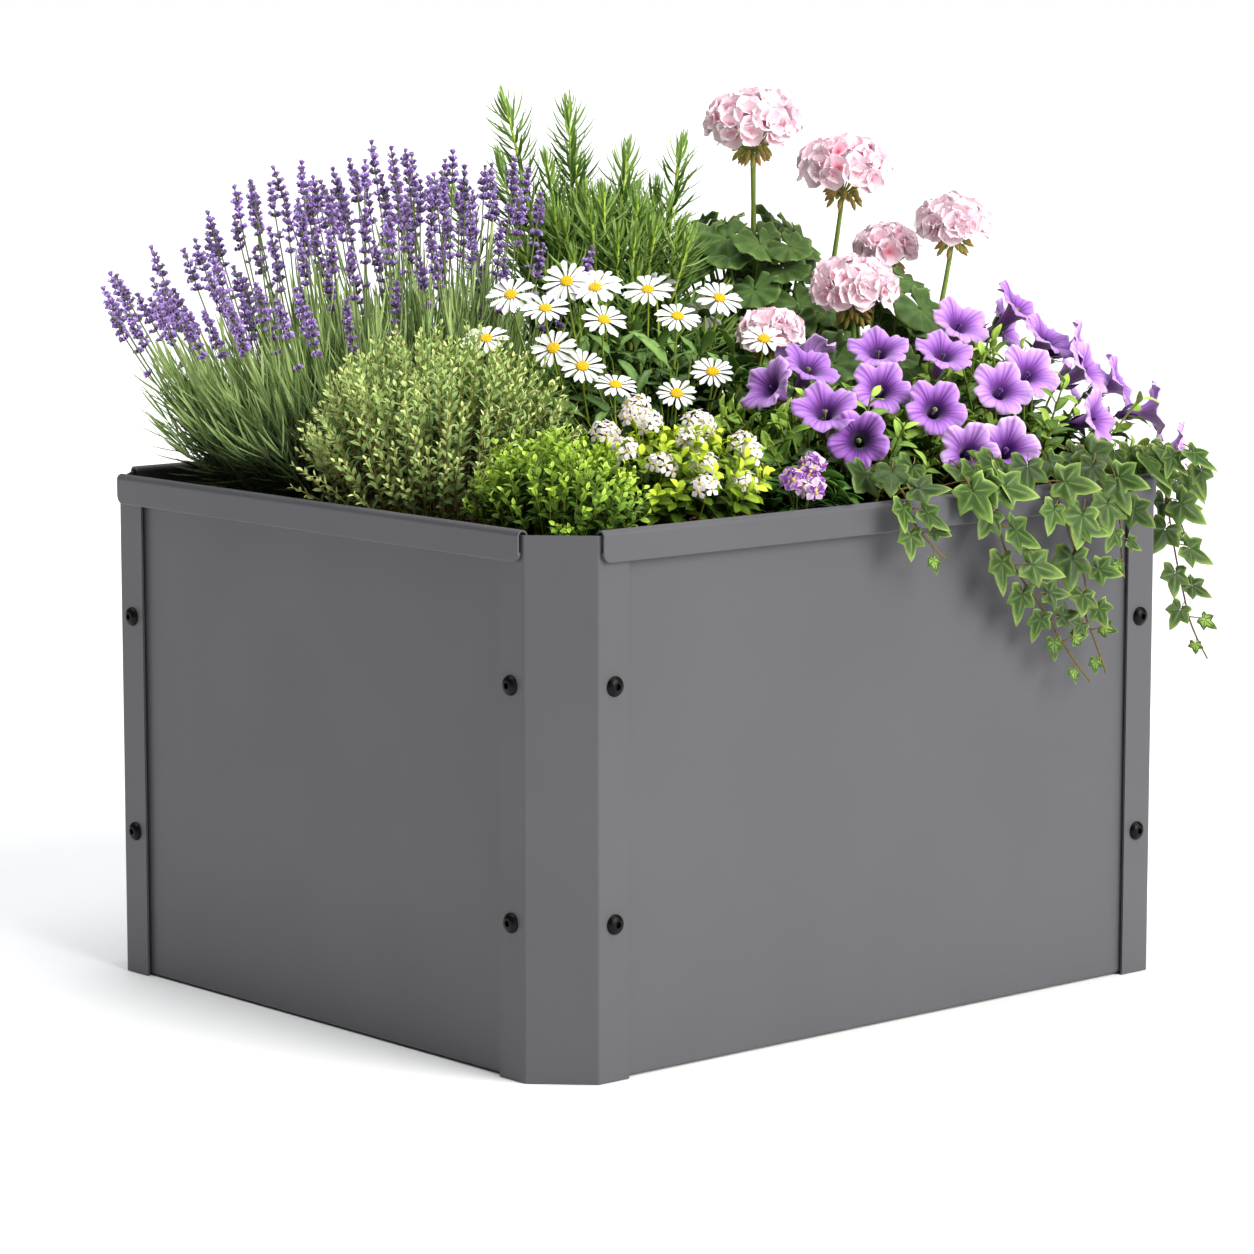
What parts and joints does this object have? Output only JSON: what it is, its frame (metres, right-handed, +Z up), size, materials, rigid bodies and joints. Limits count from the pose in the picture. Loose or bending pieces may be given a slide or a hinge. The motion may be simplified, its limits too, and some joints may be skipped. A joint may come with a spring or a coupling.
{
  "type": "planter box",
  "caption": "Rectangular sheet-metal planter box with chamfered bolted corner posts, rolled rim, soil, mulch and a mixed planting of herbs and flowers.",
  "frame": {"origin": "on the floor, under the centre of the box", "axes": "+Z up; +X along the long side, towards the end that the petunias and ivy spill over; -Y is the front, the long face that the ivy hangs down"},
  "size_m": [0.84, 0.72, 0.77],
  "materials": {
    "powder_coat": "satin",
    "black_bolt": "satin",
    "zinc_plate": "satin",
    "galvanised": "matte",
    "epdm": "matte",
    "clay_pebbles": "matte",
    "geotextile": "matte",
    "soil": "matte",
    "bark_mulch": "matte",
    "lavender": "matte",
    "rosemary": "matte",
    "thyme": "matte",
    "green_herb": "matte",
    "daisies": "matte",
    "alyssum": "matte",
    "verbena": "matte",
    "petunia": "matte",
    "geranium": "matte",
    "ivy": "matte"
  },
  "bodies": {
    "root": {"base_rail_centre": "galvanised", "base_rail_left": "galvanised", "base_rail_right": "galvanised", "base_tray": "galvanised", "bolts": "black_bolt", "daisies": "daisies", "drainage_layer": "clay_pebbles", "gasket_back_end": "epdm", "gasket_back_start": "epdm", "gasket_front_end": "epdm", "gasket_front_start": "epdm", "gasket_left_end": "epdm", "gasket_left_start": "epdm", "gasket_right_end": "epdm", "gasket_right_start": "epdm", "geranium_back": "geranium", "geranium_front": "geranium", "green_herb": "green_herb", "ivy_front": "ivy", "ivy_side": "ivy", "lavender_back": "lavender", "lavender_left": "lavender", "membrane": "geotextile", "mulch": "bark_mulch", "nuts": "zinc_plate", "panel_back": "powder_coat", "panel_front": "powder_coat", "panel_left": "powder_coat", "panel_right": "powder_coat", "petunia_front": "petunia", "petunia_right": "petunia", "post_back_left": "powder_coat", "post_back_right": "powder_coat", "post_front_left": "powder_coat", "post_front_right": "powder_coat", "rosemary": "rosemary", "soil": "soil", "thyme": "thyme", "verbena": "verbena", "washers": "zinc_plate", "white_alyssum": "alyssum"}
  },
  "joints": []
}
